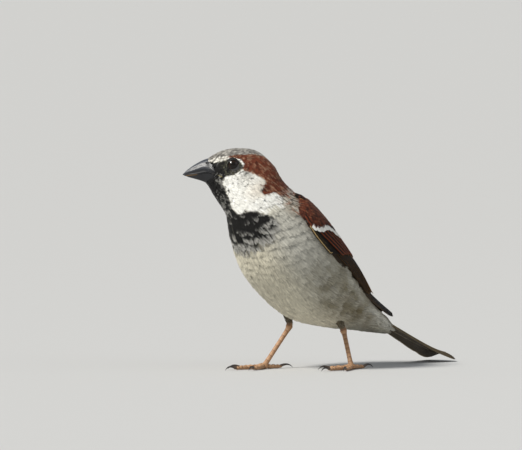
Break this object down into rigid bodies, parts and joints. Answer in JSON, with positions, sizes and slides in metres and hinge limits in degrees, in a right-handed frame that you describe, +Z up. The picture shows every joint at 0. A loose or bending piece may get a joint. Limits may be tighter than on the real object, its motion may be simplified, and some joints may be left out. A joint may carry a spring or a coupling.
{
  "type": "house sparrow model",
  "caption": "Life-size still model of an adult male house sparrow standing alert on both feet with its head turned to its right.",
  "frame": {"origin": "on the floor, below the middle of the bird's box", "axes": "+Z up; the body heads along -Y with the tail towards +Y; +X is the bird's left side"},
  "size_m": [0.0424, 0.1246, 0.0881],
  "materials": {
    "head_plumage": "soft matt feathers: grey crown, chestnut sides, black face and bib, off-white cheeks",
    "neck_plumage": "soft matt feathers: chestnut and grey behind, off-white sides, black bib",
    "body_plumage": "soft matt feathers: streaked brown back, pale grey to buff underside with grey-brown flanks",
    "wing_coverts": "matt feathers: chestnut lesser coverts, a white bar, dark greater coverts with buff edges",
    "flight_feathers": "satin blackish-brown vanes with narrow buff edges",
    "tail_feathers": "satin dark brown vanes with pale edges",
    "bill": "black horn with a soft gloss",
    "eye": "wet, very dark brown eye",
    "leg_skin": "pinkish-brown scaled skin with a slight sheen",
    "claw": "dark grey-brown horn, satin"
  },
  "bodies": {
    "root": {"head": "head_plumage", "neck": "neck_plumage", "trunk": "body_plumage", "upper_bill": "bill", "lower_bill": "bill", "left_eye": "eye", "right_eye": "eye", "left_wing_coverts": "wing_coverts", "left_wing_secondaries": "flight_feathers", "left_wing_primaries": "flight_feathers", "right_wing_coverts": "wing_coverts", "right_wing_secondaries": "flight_feathers", "right_wing_primaries": "flight_feathers", "tail_left": "tail_feathers", "tail_middle": "tail_feathers", "tail_right": "tail_feathers", "left_thigh": "body_plumage", "left_shank": "leg_skin", "left_toe_inner": "leg_skin", "left_toe_middle": "leg_skin", "left_toe_outer": "leg_skin", "left_toe_hind": "leg_skin", "left_claw_inner": "claw", "left_claw_middle": "claw", "left_claw_outer": "claw", "left_claw_hind": "claw", "right_thigh": "body_plumage", "right_shank": "leg_skin", "right_toe_inner": "leg_skin", "right_toe_middle": "leg_skin", "right_toe_outer": "leg_skin", "right_toe_hind": "leg_skin", "right_claw_inner": "claw", "right_claw_middle": "claw", "right_claw_outer": "claw", "right_claw_hind": "claw"}
  },
  "joints": []
}
